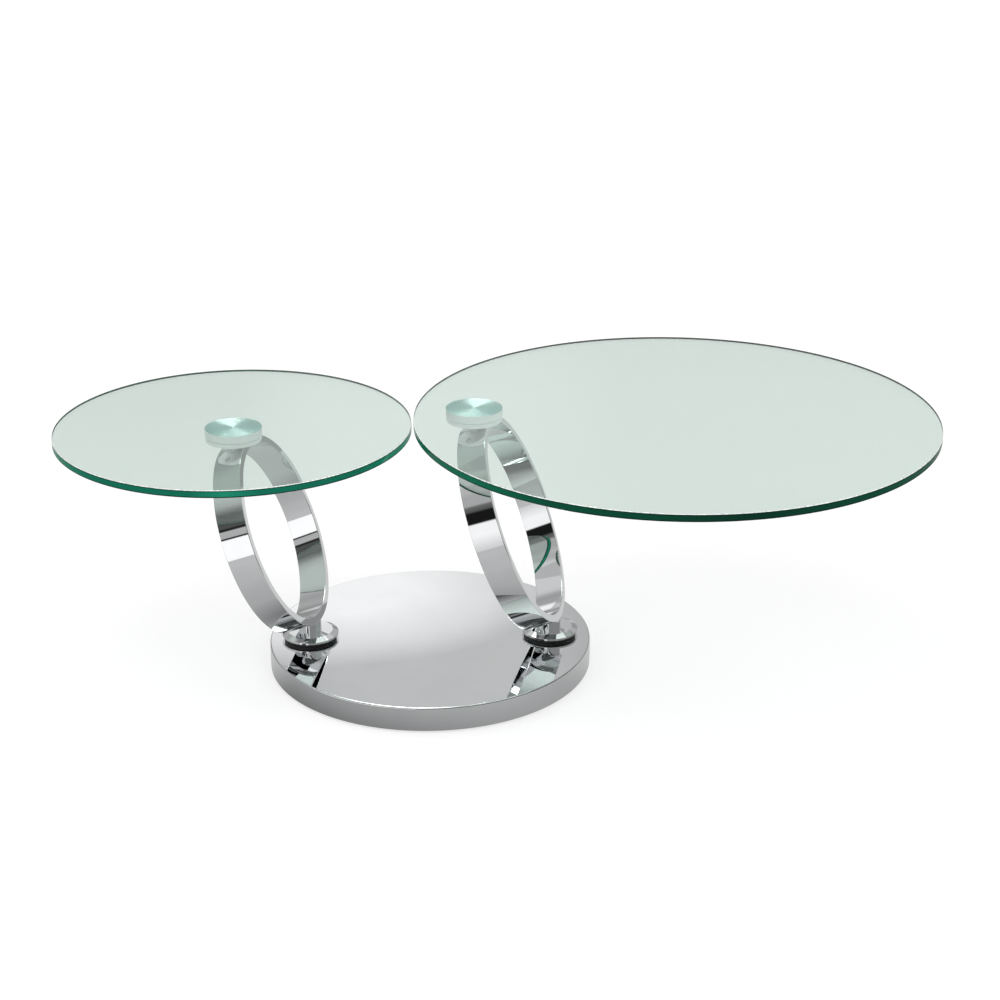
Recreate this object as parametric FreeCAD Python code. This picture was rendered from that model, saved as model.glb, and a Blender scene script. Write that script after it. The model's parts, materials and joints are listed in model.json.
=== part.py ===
import FreeCAD, Part
import math
import os

# Swivel coffee table: a round mirror base carries two turning arms.
# Each arm is a leaning flat-band ring with a round glass top bonded to a two-layer disc.
# Millimetres, Z up, origin on the floor at the centre of the base, X through both swivel axes.

# Base
base_radius = 255.0
base_height = 41.0
cover_wall = 2.0
cover_edge_round = 2.5
pad_thickness = 3.0
pad_inset = 6.0
plate_thickness = 3.0
core_side_gap = 0.5

# Screws under the base
plate_screw_count = 6
plate_screw_inset = 30.0
plate_screw_radius = 2.5
plate_screw_head_radius = 5.0
plate_screw_head_height = 2.5
plate_screw_length = 20.0

# Swivels
swivel_inset = 64.0
swivel_washer_radius = 41.5
swivel_washer_thickness = 5.5
swivel_washer_edge = 0.6
bush_radius = 14.0
bush_top_gap = 0.5
spindle_radius = 10.0
spindle_edge = 0.8
spindle_neck_depth = 8.0
running_gap = 0.05
seat_gap = 0.05
loose_gap = 0.4

# Pocket under each swivel with the retaining nut
pocket_radius = 26.0
pocket_ceiling = 20.0
retainer_washer_radius = 19.0
retainer_washer_thickness = 3.0
nut_across_flats = 30.0
nut_height = 9.0
nut_corner_cut = 1.4
spindle_end_below_nut = 1.5

# Flange and neck at the foot of each arm
flange_radius = 44.5
flange_edge_height = 3.2
flange_edge_cut = 0.5
flange_bevel_width = 9.0
flange_bevel_height = 4.3
neck_radius = 17.5

# Leaning rings
ring_lean = 21.3
ring_foot_height = 70.0
band_width = 46.0
band_thickness = 12.0
band_edge_cut = 0.8
small_ring_radius = 151.5
large_ring_radius = 165.5
arm_turn = 10.5

# Two-layer disc between ring and glass
ring_to_glass = 29.5
boss_radius = 17.5
upper_disc_radius = 44.0
upper_disc_thickness = 12.0
lower_disc_radius = 43.2
lower_disc_thickness = 6.8
disc_reveal_height = 1.0
disc_reveal_depth = 2.2
disc_edge_cut = 0.5
disc_screw_count = 4
disc_screw_circle = 31.0
disc_screw_radius = 3.0
disc_screw_head_radius = 5.5
disc_screw_head_height = 3.0
disc_screw_length = 13.0
disc_screw_first_angle = 45.0

# Glass tops
glass_thickness = 12.0
glass_arris = 1.0
small_top_radius = 275.0
large_top_radius = 400.0
small_rim_clearance = 20.0

# Places that several pieces share: turned inwards, the large top is centred over the base
swivel_offset = base_radius - swivel_inset
large_top_offset = swivel_offset
plate_screw_circle = base_radius - plate_screw_inset

# Levels that several pieces share
pad_top = pad_thickness
plate_top = pad_top + plate_thickness
core_top = base_height - cover_wall
washer_top = base_height + swivel_washer_thickness
flange_edge_top = washer_top + flange_edge_height
flange_top = flange_edge_top + flange_bevel_height
spindle_top = flange_top + spindle_neck_depth
retainer_bottom = pocket_ceiling - retainer_washer_thickness
nut_bottom = retainer_bottom - nut_height
spindle_bottom = nut_bottom - spindle_end_below_nut
lean_angle = math.radians(ring_lean)


def point(x, y, z):
    return FreeCAD.Vector(x, y, z)


up = point(0, 0, 1)


def turned(profile):
    """Full turn about Z of a closed outline given as (radius, height) corners."""
    corners = [point(radius, 0, height) for radius, height in profile]
    corners.append(corners[0])
    face = Part.Face(Part.makePolygon(corners))
    return face.revolve(point(0, 0, 0), up, 360)


def tube(outer_radius, inner_radius, bottom, top, edge_cut=0.0):
    """Upright tube whose outer edges carry a small flat cut."""
    profile = [(inner_radius, bottom), (outer_radius - edge_cut, bottom)]
    if edge_cut > 0:
        profile.append((outer_radius, bottom + edge_cut))
        profile.append((outer_radius, top - edge_cut))
    else:
        profile.append((outer_radius, bottom))
        profile.pop(1)
    profile.append((outer_radius - edge_cut, top))
    profile.append((inner_radius, top))
    return turned(profile)


def rod(radius, bottom, top, edge_cut=0.0):
    """Upright solid rod or disc with a small flat cut on both edges."""
    return tube(radius, 0.0, bottom, top, edge_cut)


def moved(shape, x, y, z=0.0):
    copy = shape.copy()
    copy.translate(point(x, y, z))
    return copy


def ring_of(shape, count, circle_radius, first_angle=0.0):
    """Copies of a shape spread evenly on a circle about Z."""
    copies = []
    for number in range(count):
        angle = math.radians(first_angle + number * 360.0 / count)
        copies.append(moved(shape, circle_radius * math.cos(angle), circle_radius * math.sin(angle)))
    return copies


def countersunk_screw(radius, head_radius, head_height, bottom, length, gap=0.0):
    """Flat-headed screw standing head down; a gap widens it into the hole it sits in."""
    head_top = bottom + head_height
    profile = [
        (0.0, bottom),
        (head_radius + gap, bottom),
        (radius + gap, head_top),
        (radius + gap, bottom + length + gap),
        (0.0, bottom + length + gap),
    ]
    return turned(profile)


def at_swivels(shape):
    """The same shape on both swivel axes."""
    return [moved(shape, -swivel_offset, 0.0), moved(shape, swivel_offset, 0.0)]


def plate_screw(gap=0.0):
    return countersunk_screw(
        plate_screw_radius, plate_screw_head_radius, plate_screw_head_height,
        pad_top, plate_screw_length, gap)


def base_cover():
    """Spun mirror shell: flat top with a rounded edge and an open underside."""
    shell = Part.makeCylinder(base_radius, base_height - pad_top, point(0, 0, pad_top))
    top_edges = [edge for edge in shell.Edges if edge.BoundBox.ZMin > base_height - cover_wall]
    shell = shell.makeFillet(cover_edge_round, top_edges)
    inside = Part.makeCylinder(base_radius - cover_wall, core_top - pad_top, point(0, 0, pad_top))
    shell = shell.cut(inside)
    for hole in at_swivels(rod(bush_radius + loose_gap, core_top, base_height)):
        shell = shell.cut(hole)
    return shell


def base_core():
    """Heavy filling disc with a stepped bore under each swivel."""
    core = rod(base_radius - cover_wall - core_side_gap, plate_top, core_top)
    for bore in at_swivels(rod(bush_radius + seat_gap, plate_top, core_top)):
        core = core.cut(bore)
    for pocket in at_swivels(rod(pocket_radius, plate_top, pocket_ceiling)):
        core = core.cut(pocket)
    for screw in ring_of(plate_screw(seat_gap), plate_screw_count, plate_screw_circle):
        core = core.cut(screw)
    return core


def base_plate():
    """Steel disc that closes the underside, open below each swivel nut."""
    plate = rod(base_radius - cover_wall - core_side_gap, pad_top, plate_top)
    for hole in at_swivels(rod(pocket_radius, pad_top, plate_top)):
        plate = plate.cut(hole)
    for screw in ring_of(plate_screw(seat_gap), plate_screw_count, plate_screw_circle):
        plate = plate.cut(screw)
    return plate


def floor_pad():
    """Soft disc that meets the floor."""
    return rod(base_radius - pad_inset, 0.0, pad_top)


def swivel_washer():
    """Dark bearing washer between base and flange."""
    return tube(swivel_washer_radius, bush_radius + loose_gap, base_height, washer_top, swivel_washer_edge)


def swivel_bush():
    """Bearing sleeve through core and cover."""
    return tube(bush_radius, spindle_radius + running_gap, pocket_ceiling, washer_top - bush_top_gap)


def spindle():
    """Pivot pin from the nut up into the neck."""
    return rod(spindle_radius, spindle_bottom, spindle_top, spindle_edge)


def retainer_washer():
    return tube(retainer_washer_radius, spindle_radius + seat_gap, retainer_bottom, pocket_ceiling)


def lock_nut():
    """Six-sided nut with turned-down corners."""
    corner_radius = nut_across_flats / math.sqrt(3.0)
    corners = []
    for number in range(7):
        angle = math.radians(60.0 * number)
        corners.append(point(corner_radius * math.cos(angle), corner_radius * math.sin(angle), nut_bottom))
    hexagon = Part.Face(Part.makePolygon(corners)).extrude(point(0, 0, nut_height))
    envelope = rod(corner_radius, nut_bottom, retainer_bottom, nut_corner_cut)
    bore = rod(spindle_radius + seat_gap, nut_bottom, retainer_bottom)
    return hexagon.common(envelope).cut(bore)


def flange():
    """Bevelled collar that turns on the bearing washer."""
    hole_radius = spindle_radius + seat_gap
    profile = [
        (hole_radius, washer_top),
        (flange_radius - flange_edge_cut, washer_top),
        (flange_radius, washer_top + flange_edge_cut),
        (flange_radius, flange_edge_top),
        (flange_radius - flange_bevel_width, flange_top),
        (hole_radius, flange_top),
    ]
    return turned(profile)


def disc_axis(ring_radius):
    """Distance from the swivel axis to the axis of the disc on top of the ring."""
    return 2.0 * ring_radius * math.sin(lean_angle)


def glass_bottom(ring_radius):
    return ring_foot_height + 2.0 * ring_radius * math.cos(lean_angle) + ring_to_glass


def leaned(shape, ring_radius):
    """Tip a shape made about Z into the plane of the ring and stand it on its foot point."""
    copy = shape.copy()
    copy.rotate(point(0, 0, 0), point(0, 1, 0), 90.0 - ring_lean)
    rise = ring_radius * math.cos(lean_angle)
    reach = ring_radius * math.sin(lean_angle)
    copy.translate(point(-reach, 0, ring_foot_height + rise))
    return copy


def ring_band(ring_radius):
    """Flat-band ring with eased edges, leaning away from the swivel axis."""
    half_width = band_width / 2.0
    band = Part.makeCylinder(ring_radius, band_width, point(0, 0, -half_width))
    band = band.cut(Part.makeCylinder(ring_radius - band_thickness, band_width, point(0, 0, -half_width)))
    rims = [edge for edge in band.Edges if edge.BoundBox.ZLength < band_edge_cut]
    band = band.makeChamfer(band_edge_cut, rims)
    return leaned(band, ring_radius)


def ring_envelope(ring_radius):
    """Solid drum with the outer surface of the ring, used to shape what is welded to it."""
    drum = Part.makeCylinder(ring_radius, 3.0 * band_width, point(0, 0, -1.5 * band_width))
    return leaned(drum, ring_radius)


def neck(ring_radius):
    """Post between flange and ring, its top shaped to the ring."""
    post = rod(neck_radius, flange_top, ring_foot_height + neck_radius)
    post = post.cut(ring_envelope(ring_radius))
    return post.cut(rod(spindle_radius + seat_gap, flange_top, spindle_top + seat_gap))


def lower_disc_bottom(ring_radius):
    return glass_bottom(ring_radius) - upper_disc_thickness - disc_reveal_height - lower_disc_thickness


def boss(ring_radius):
    """Post between ring and lower disc, its foot shaped to the ring."""
    top = lower_disc_bottom(ring_radius)
    post = rod(boss_radius, top - ring_to_glass, top)
    post = moved(post, -disc_axis(ring_radius), 0.0)
    return post.cut(ring_envelope(ring_radius))


def disc_screw(ring_radius, gap=0.0):
    return countersunk_screw(
        disc_screw_radius, disc_screw_head_radius, disc_screw_head_height,
        lower_disc_bottom(ring_radius), disc_screw_length, gap)


def disc_screws(ring_radius, gap=0.0):
    """Screws that draw the upper disc down on the lower one."""
    screws = ring_of(disc_screw(ring_radius, gap), disc_screw_count, disc_screw_circle, disc_screw_first_angle)
    return [moved(screw, -disc_axis(ring_radius), 0.0) for screw in screws]


def lower_disc(ring_radius):
    """Thin turned disc with a narrower step that leaves a dark joint line."""
    bottom = lower_disc_bottom(ring_radius)
    body = rod(lower_disc_radius, bottom, bottom + lower_disc_thickness, disc_edge_cut)
    step_bottom = bottom + lower_disc_thickness
    step = rod(lower_disc_radius - disc_reveal_depth, step_bottom, step_bottom + disc_reveal_height)
    disc = moved(body.fuse(step).removeSplitter(), -disc_axis(ring_radius), 0.0)
    for hole in disc_screws(ring_radius, seat_gap):
        disc = disc.cut(hole)
    return disc


def upper_disc(ring_radius):
    """Thick turned disc bonded to the underside of the glass."""
    top = glass_bottom(ring_radius)
    disc = rod(upper_disc_radius, top - upper_disc_thickness, top, disc_edge_cut)
    disc = moved(disc, -disc_axis(ring_radius), 0.0)
    for hole in disc_screws(ring_radius, seat_gap):
        disc = disc.cut(hole)
    return disc


def small_top_offset():
    """Distance from the swivel to the centre of the small top.

    It is centred on its disc, or carried further out where its rim would come too near the large arm's disc.
    """
    disc_spacing = 2.0 * swivel_offset + disc_axis(small_ring_radius) - disc_axis(large_ring_radius)
    needed_spacing = small_top_radius + small_rim_clearance + upper_disc_radius
    return disc_axis(small_ring_radius) + max(0.0, needed_spacing - disc_spacing)


def glass_top(ring_radius, top_radius, centre_x):
    """Round glass with a polished flat edge."""
    bottom = glass_bottom(ring_radius)
    return moved(rod(top_radius, bottom, bottom + glass_thickness, glass_arris), centre_x, 0.0)


def placed(shape, side):
    """Turn an arm piece to its resting direction and carry it to its swivel axis."""
    copy = shape.copy()
    copy.rotate(point(0, 0, 0), up, -arm_turn)
    copy.translate(point(side * swivel_offset, 0, 0))
    return copy


def base_pieces():
    screws = ring_of(plate_screw(), plate_screw_count, plate_screw_circle)
    return {
        "base_cover": base_cover(),
        "base_core": base_core(),
        "base_plate": base_plate(),
        "base_plate_screws": Part.makeCompound(screws),
        "floor_pad": floor_pad(),
    }


def arm_pieces(ring_radius, top_radius, top_centre):
    return {
        "swivel_washer": swivel_washer(),
        "swivel_bush": swivel_bush(),
        "spindle": spindle(),
        "retainer_washer": retainer_washer(),
        "lock_nut": lock_nut(),
        "flange": flange(),
        "neck": neck(ring_radius),
        "ring": ring_band(ring_radius),
        "boss": boss(ring_radius),
        "lower_disc": lower_disc(ring_radius),
        "disc_screws": Part.makeCompound(disc_screws(ring_radius)),
        "upper_disc": upper_disc(ring_radius),
        "glass_top": glass_top(ring_radius, top_radius, top_centre),
    }


def main():
    os.makedirs("parts", exist_ok=True)
    for node, shape in base_pieces().items():
        shape.exportStep("parts/" + node + ".step")
    arms = [
        ("small", -1, small_ring_radius, small_top_radius, -small_top_offset()),
        ("large", 1, large_ring_radius, large_top_radius, large_top_offset),
    ]
    for name, side, ring_radius, top_radius, top_centre in arms:
        for node, shape in arm_pieces(ring_radius, top_radius, top_centre).items():
            placed(shape, side).exportStep("parts/" + name + "_" + node + ".step")


main()
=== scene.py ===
"""Swivel coffee table: two glass tops on leaning mirror rings that turn on a round mirror base."""

import json
import math

import bmesh
import bpy
import numpy as np
from mathutils import Matrix, Vector

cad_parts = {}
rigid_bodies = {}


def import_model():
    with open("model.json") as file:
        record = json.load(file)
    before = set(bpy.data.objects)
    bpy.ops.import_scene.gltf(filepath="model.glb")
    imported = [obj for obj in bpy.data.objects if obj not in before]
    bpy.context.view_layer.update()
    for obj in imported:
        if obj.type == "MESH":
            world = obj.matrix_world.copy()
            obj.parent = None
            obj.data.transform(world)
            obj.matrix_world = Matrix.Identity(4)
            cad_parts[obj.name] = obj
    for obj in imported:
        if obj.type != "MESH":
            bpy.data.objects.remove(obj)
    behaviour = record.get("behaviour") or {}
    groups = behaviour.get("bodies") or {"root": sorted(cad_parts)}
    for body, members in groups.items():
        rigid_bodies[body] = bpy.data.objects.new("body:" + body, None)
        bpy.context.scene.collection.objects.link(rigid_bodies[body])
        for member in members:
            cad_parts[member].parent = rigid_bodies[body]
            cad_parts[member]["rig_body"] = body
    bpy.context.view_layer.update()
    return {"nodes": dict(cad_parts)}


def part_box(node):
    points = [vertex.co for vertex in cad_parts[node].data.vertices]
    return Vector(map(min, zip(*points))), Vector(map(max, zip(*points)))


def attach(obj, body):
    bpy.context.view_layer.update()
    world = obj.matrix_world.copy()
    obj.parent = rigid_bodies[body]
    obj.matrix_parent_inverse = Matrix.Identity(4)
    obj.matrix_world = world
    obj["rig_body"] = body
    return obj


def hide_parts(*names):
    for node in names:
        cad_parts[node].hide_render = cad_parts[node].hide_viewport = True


bl_info = {
    "name": "Swivel coffee table",
    "version": (1, 0, 0),
    "blender": (4, 5, 0),
    "location": "3D View > Sidebar > Table",
    "description": "Dresses the packed parts of a two-top swivel table and sets up its studio",
    "category": "Add Mesh",
}

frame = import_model()

MM = 0.001
ARMS = ("small", "large")

# Layers that pieces carry for their materials
UV_NAME = "turning"
LEVEL_NAME = "level_in_sheet"

# Fineness of the meshes
ROUND_STEPS = 6
ROUND_SEGMENTS = 256
COARSE_SEGMENTS = 128
POST_CAP_ROWS = 4
POST_WALL_ROWS = 8
SCREW_SEGMENTS = 32
LONGEST_STEP = 12 * MM

# Roundings of small edges
HOLE_ROUND = 0.1 * MM
FLANGE_ROUND = 0.5 * MM
FLANGE_TOP_ROUND = 0.8 * MM
WASHER_HOLE_ROUND = 0.2 * MM
WASHER_ROUND = 0.6 * MM
COVER_FOOT_ROUND = 0.4 * MM
SCREW_RIM_ROUND = 0.25 * MM
SOCKET_RIM_ROUND = 0.15 * MM

# Adhesive between glass and disc, and the screw heads in the disc's underside
BOND = 0.08 * MM
SOCKET_SHARE = 0.45
SCREW_PROUD = 0.3 * MM
SOCKET_SUNK = 1.0 * MM
SCREW_SUNK = 2.0 * MM

# Painted light and shade along each top's edge: share of the paler green, by the distance to the right in
# metres. The edge is painted paler where the sheet looks into the bright studio, and darker where it looks
# into the dark hall
EDGE_PAINTED_LIGHT = {
    "small": [(-0.58, 0.7), (-0.48, 0.2), (-0.34, 0.15), (-0.29, 0.8), (-0.24, 0.15), (-0.1, 0.1),
              (-0.03, 0.9)],
    "large": [(0.0, 0.9), (0.06, 1.0), (0.16, 0.4), (0.3, 0.25), (0.42, 0.05), (0.6, 0.25), (0.8, 0.5)],
}

# Studio, in metres; the wall, the ceiling, the lamp panel and the card show only in mirrors and glass
FLOOR_RADIUS = 14.0
FLOOR_DROP = 0.5 * MM
WALL_RADIUS = 3.2
WALL_THICKNESS = 10 * MM
WALL_HEIGHT = 4.6
DISC_THICKNESS = 1 * MM
PANEL_PLACE = (-0.25, 2.0, 3.5)
PANEL_RADIUS = 1.15
PANEL_LEAN = math.radians(45)
PANEL_LEVEL = 8.5
CARD_PLACE = (-0.2, 1.2, 0.5)
CARD_WIDTH = 0.48
CARD_HEIGHT = 0.19

# Greys of the studio, as linear RGB
WHITE = (1.0, 1.0, 1.0)
PAPER_GREY = (0.27, 0.27, 0.27)
POOL_GREY = (0.56, 0.56, 0.56)
CEILING_GREY = (0.48, 0.48, 0.48)

# Camera that sees the rims of the tops, the base and the rings as the photograph does: metres, radians, and
# millimetres for the lens and the sensor
CAMERA_PLACE = (0, -3.0086, 1.475)
CAMERA_PITCH = 0.38044
CAMERA_YAW = 0.037127
CAMERA_ROLL = -0.000995
CAMERA_LENS = 74.754
SENSOR_WIDTH = 36.0


# Colours and places

def linear(hex_colour):
    """Linear RGB of an sRGB hex colour: the low end is a straight line, the rest a power of 2.4."""
    coded = [int(hex_colour[start:start + 2], 16) / 255 for start in (1, 3, 5)]
    return [c / 12.92 if c <= 0.04045 else ((c + 0.055) / 1.055) ** 2.4 for c in coded]


def opaque(colour):
    """RGBA of a linear RGB colour."""
    return (*colour, 1.0)


def round_node(node):
    """Centre line, radius, bottom and top of a node turned about an upright axis."""
    low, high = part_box(node)
    radius = max(high.x - low.x, high.y - low.y) / 2
    return (low + high) / 2, radius, low.z, high.z


def upright_at(node):
    """Transform that carries a shape turned about Z to the node's own upright axis."""
    centre = round_node(node)[0]
    return Matrix.Translation((centre.x, centre.y, 0))


# Outlines and surfaces

def rounded_outline(corners, rounds):
    """Closed outline through (radius, height) corners, walked with the solid on the left.

    At each corner an arc of the given radius touches both sides: its centre lies one radius inwards of the
    incoming side, and the outward normal swings from one side's normal to the next one's.
    Gives the points and their outward normals, one row per corner.
    """
    corners = np.asarray(corners, float)
    rounds = np.asarray(rounds, float)[:, None]
    incoming = corners - np.roll(corners, 1, axis=0)
    incoming /= np.linalg.norm(incoming, axis=1, keepdims=True)
    outgoing = np.roll(incoming, -1, axis=0)
    cross = incoming[:, 0] * outgoing[:, 1] - incoming[:, 1] * outgoing[:, 0]
    turn = np.arctan2(cross, np.sum(incoming * outgoing, axis=1))[:, None]
    bend = np.sign(turn) * rounds
    normal = np.stack([incoming[:, 1], -incoming[:, 0]], axis=1)
    start = corners - incoming * rounds * np.tan(np.abs(turn) / 2)
    centre = start - bend * normal
    angle = np.arctan2(normal[:, 1], normal[:, 0])[:, None] + turn * np.linspace(0, 1, ROUND_STEPS + 1)
    normals = np.stack([np.cos(angle), np.sin(angle)], axis=2)
    return centre[:, None, :] + bend[:, :, None] * normals, normals


def filled_in(points, normals):
    """Open outline with points added on its straight runs, so that no step is longer than LONGEST_STEP."""
    lengths = np.linalg.norm(np.diff(points, axis=0), axis=1)
    counts = np.maximum(1, np.ceil(lengths / LONGEST_STEP)).astype(int)
    first = np.repeat(np.arange(len(counts)), counts)
    within = np.arange(counts.sum()) - np.repeat(np.cumsum(counts) - counts, counts)
    share = (within / counts[first])[:, None]
    points = np.vstack([points[first] * (1 - share) + points[first + 1] * share, points[-1:]])
    normals = np.vstack([normals[first] * (1 - share) + normals[first + 1] * share, normals[-1:]])
    return points, normals / np.linalg.norm(normals, axis=1, keepdims=True)


def axis_outline(corners, rounds):
    """Outline that starts and ends on the axis: only the corners between its two ends are rounded."""
    points, normals = rounded_outline(corners, rounds)
    ends = np.asarray([corners[0], corners[-1]], float)
    points = np.vstack([ends[:1], points[1:-1].reshape(-1, 2), ends[1:]])
    normals = normals[1:-1].reshape(-1, 2)
    normals = np.vstack([normals[:1], normals, normals[-1:]])
    return filled_in(points, normals)


def ring_outline(corners, rounds):
    """Closed outline that stays off the axis; its last point meets its first one."""
    points, normals = rounded_outline(corners, rounds)
    points = points.reshape(-1, 2)
    normals = normals.reshape(-1, 2)
    points, normals = filled_in(np.vstack([points, points[:1]]), np.vstack([normals, normals[:1]]))
    return points[:-1], normals[:-1]


def spun(points, normals, segments):
    """Grid of a surface of revolution: outline point (r, z) at angle a lies at (r cos a, r sin a, z)."""
    angle = np.arange(segments) * 2 * np.pi / segments
    circle = np.stack([np.cos(angle), np.sin(angle)], axis=1)

    def spin(outline):
        level = np.broadcast_to(outline[:, 1, None, None], (len(outline), segments, 1))
        return np.concatenate([outline[:, 0, None, None] * circle, level], axis=2)

    return spin(points), spin(normals)


def grid_mesh(name, grid, normals, closed, place, row_material=None):
    """Mesh of a grid whose columns close round the axis.

    A closed grid also joins its last row to its first one. An open one starts and ends on the axis, so its
    first and last rows shrink to one pole each. Every corner carries the surface's own normal, and the UV map
    holds the share of the turn and the row's distance along the outline in metres.
    """
    rows, columns = grid.shape[:2]
    row, column = np.indices((rows if closed else rows - 1, columns)).reshape(2, -1)
    corner_row = np.stack([row, row, row + 1, row + 1], axis=1)
    corner_column = np.stack([column, column + 1, column + 1, column], axis=1)
    index = (corner_row % rows) * columns + corner_column % columns
    step = np.linalg.norm(np.diff(grid[:, 0], axis=0, append=grid[:1, 0]), axis=1)
    distance = np.concatenate([[0], np.cumsum(step)])
    uv = np.stack([corner_column / columns, distance[corner_row]], axis=2)
    used = np.ones(index.shape, bool)
    points = grid.reshape(-1, 3)
    vectors = normals.reshape(-1, 3)
    if not closed:
        used[row == 0, 1] = False
        used[row == rows - 2, 2] = False
        index = np.where(corner_row == 0, 0, index - columns + 1)
        index = np.where(corner_row == rows - 1, (rows - 2) * columns + 1, index)
        points = np.vstack([points[:1], points[columns:-columns], points[-1:]])
        vectors = np.vstack([vectors[:1], vectors[columns:-columns], vectors[-1:]])
        vectors[[0, -1], :2] = 0
    sides = used.sum(axis=1)
    mesh = bpy.data.meshes.new(name)
    mesh.vertices.add(len(points))
    mesh.vertices.foreach_set("co", points.astype(np.float32).ravel())
    mesh.loops.add(int(sides.sum()))
    mesh.loops.foreach_set("vertex_index", index[used].astype(np.int32))
    mesh.polygons.add(len(sides))
    mesh.polygons.foreach_set("loop_start", (np.cumsum(sides) - sides).astype(np.int32))
    if row_material is not None:
        mesh.polygons.foreach_set("material_index", np.asarray(row_material, np.int32)[row])
    mesh.update(calc_edges=True)
    layer = mesh.uv_layers.new(name=UV_NAME)
    layer.uv.foreach_set("vector", uv[used].astype(np.float32).ravel())
    mesh.polygons.foreach_set("use_smooth", np.ones(len(sides), bool))
    if mesh.validate(verbose=False):
        raise RuntimeError(f"{name} has faulty faces")
    mesh.transform(place)
    turned_vectors = vectors @ np.array(place.to_3x3()).T
    mesh.normals_split_custom_set_from_vertices(turned_vectors)
    return mesh


def spun_mesh(name, points, normals, place, segments=ROUND_SEGMENTS, closed=False, row_material=None):
    """Mesh of an outline with its normals, turned about Z and carried to its place."""
    grid, grid_normals = spun(points, normals, segments)
    return grid_mesh(name, grid, grid_normals, closed, place, row_material)


def turned_mesh(name, corners, rounds, place, segments=ROUND_SEGMENTS, closed=False):
    """Mesh of a rounded outline turned about Z and carried to its place."""
    outline = ring_outline if closed else axis_outline
    points, normals = outline(corners, rounds)
    return spun_mesh(name, points, normals, place, segments, closed)


def add_object(mesh, *materials):
    """Object in the scene with the mesh's own name and the given materials."""
    for finish in materials:
        mesh.materials.append(finish)
    made = bpy.data.objects.new(mesh.name, mesh)
    bpy.context.scene.collection.objects.link(made)
    return made


def add_piece(mesh, node, slot, *materials):
    """Object that stands for a node: it sits at the origin and rides on the node's own body."""
    piece = add_object(mesh, *materials)
    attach(piece, frame["nodes"][node]["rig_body"])
    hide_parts(node)
    return piece


# Materials

def add_node(tree, kind, settings=None, values=None, links=None, stops=None):
    """Adds one shader node with its settings, socket values, incoming links and, on a ramp, its stops.

    The kind is the type's name without the prefix that all shader nodes share. Gives the node's outputs.
    """
    node = tree.nodes.new("ShaderNode" + kind)
    for name, value in (settings or {}).items():
        setattr(node, name, value)
    for socket, value in (values or {}).items():
        node.inputs[socket].default_value = value
    for socket, source in (links or {}).items():
        tree.links.new(source, node.inputs[socket])
    for number, (position, level) in enumerate(stops or ()):
        elements = node.color_ramp.elements
        element = elements[number] if number < 2 else elements.new(position)
        element.position = position
        element.color = opaque([level] * 3)
    return node.outputs


def new_material(name):
    """New material without nodes, and its node tree."""
    finish = bpy.data.materials.new(name)
    finish.use_nodes = True
    finish.node_tree.nodes.clear()
    return finish, finish.node_tree


def finished(finish, shader, volume=None):
    """The material with its output joined to a shader and, for glass, to what fills it."""
    tree = finish.node_tree
    links = {"Surface": shader[0]}
    if volume is not None:
        links["Volume"] = volume[0]
    add_node(tree, "OutputMaterial", links=links)
    return finish


def cloud(tree, size, detail=3.0):
    """Cloudy pattern from 0 to 1 on the object's own coordinates, with patches of about the given size."""
    place = add_node(tree, "TexCoord")["Object"]
    noise = add_node(tree, "TexNoise", values={"Scale": 1 / size, "Detail": detail},
                     links={"Vector": place})["Fac"]
    return add_node(tree, "MapRange", values={"From Min": 0.3, "From Max": 0.7},
                    links={"Value": noise})["Result"]


def share_along(tree, place, direction, start, end):
    """Share from 0 to 1 by how far a place lies along a direction, between two distances in metres."""
    reach = add_node(tree, "VectorMath", {"operation": "DOT_PRODUCT"}, {1: direction}, {0: place})
    share = add_node(tree, "MapRange", {"interpolation_type": "SMOOTHSTEP"},
                     {"From Min": start, "From Max": end}, {"Value": reach["Value"]})
    return share["Result"]


def levels(tree, measure, stops):
    """Grey levels along a measure in metres: each stop is a distance and a level."""
    first = stops[0][0]
    span = stops[-1][0] - first
    share = add_node(tree, "MapRange", values={"From Min": first, "From Max": first + span},
                     links={"Value": measure})["Result"]
    shares = [((distance - first) / span, level) for distance, level in stops]
    return add_node(tree, "ValToRGB", links={"Fac": share}, stops=shares)["Color"]


def mirror_plate(context):
    """Bright chromium plate over buffed steel: clear reflections, softened by patches of buffing haze.

    The base, the rings, the posts and the flanges share it; the first of them makes it.
    """
    name = "chromium_plate_mirror_buffed"
    if name in bpy.data.materials:
        return bpy.data.materials[name]
    colours = context.scene.swivel_table_colours
    finish, tree = new_material(name)
    tone = add_node(tree, "Mix", {"data_type": "RGBA"},
                    {"A": opaque(colours.chrome), "B": opaque(colours.chrome_haze)},
                    {"Factor": cloud(tree, 60 * MM)})["Result"]
    roughness = add_node(tree, "MapRange", values={"To Min": 0.012, "To Max": 0.03},
                         links={"Value": cloud(tree, 25 * MM)})["Result"]
    ripple = add_node(tree, "Bump", values={"Strength": 0.02, "Distance": 0.1 * MM},
                      links={"Height": cloud(tree, 45 * MM, 0.0)})["Normal"]
    shader = add_node(tree, "BsdfPrincipled", values={"Metallic": 1.0},
                      links={"Base Color": tone, "Roughness": roughness, "Normal": ripple})
    return finished(finish, shader)


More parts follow.
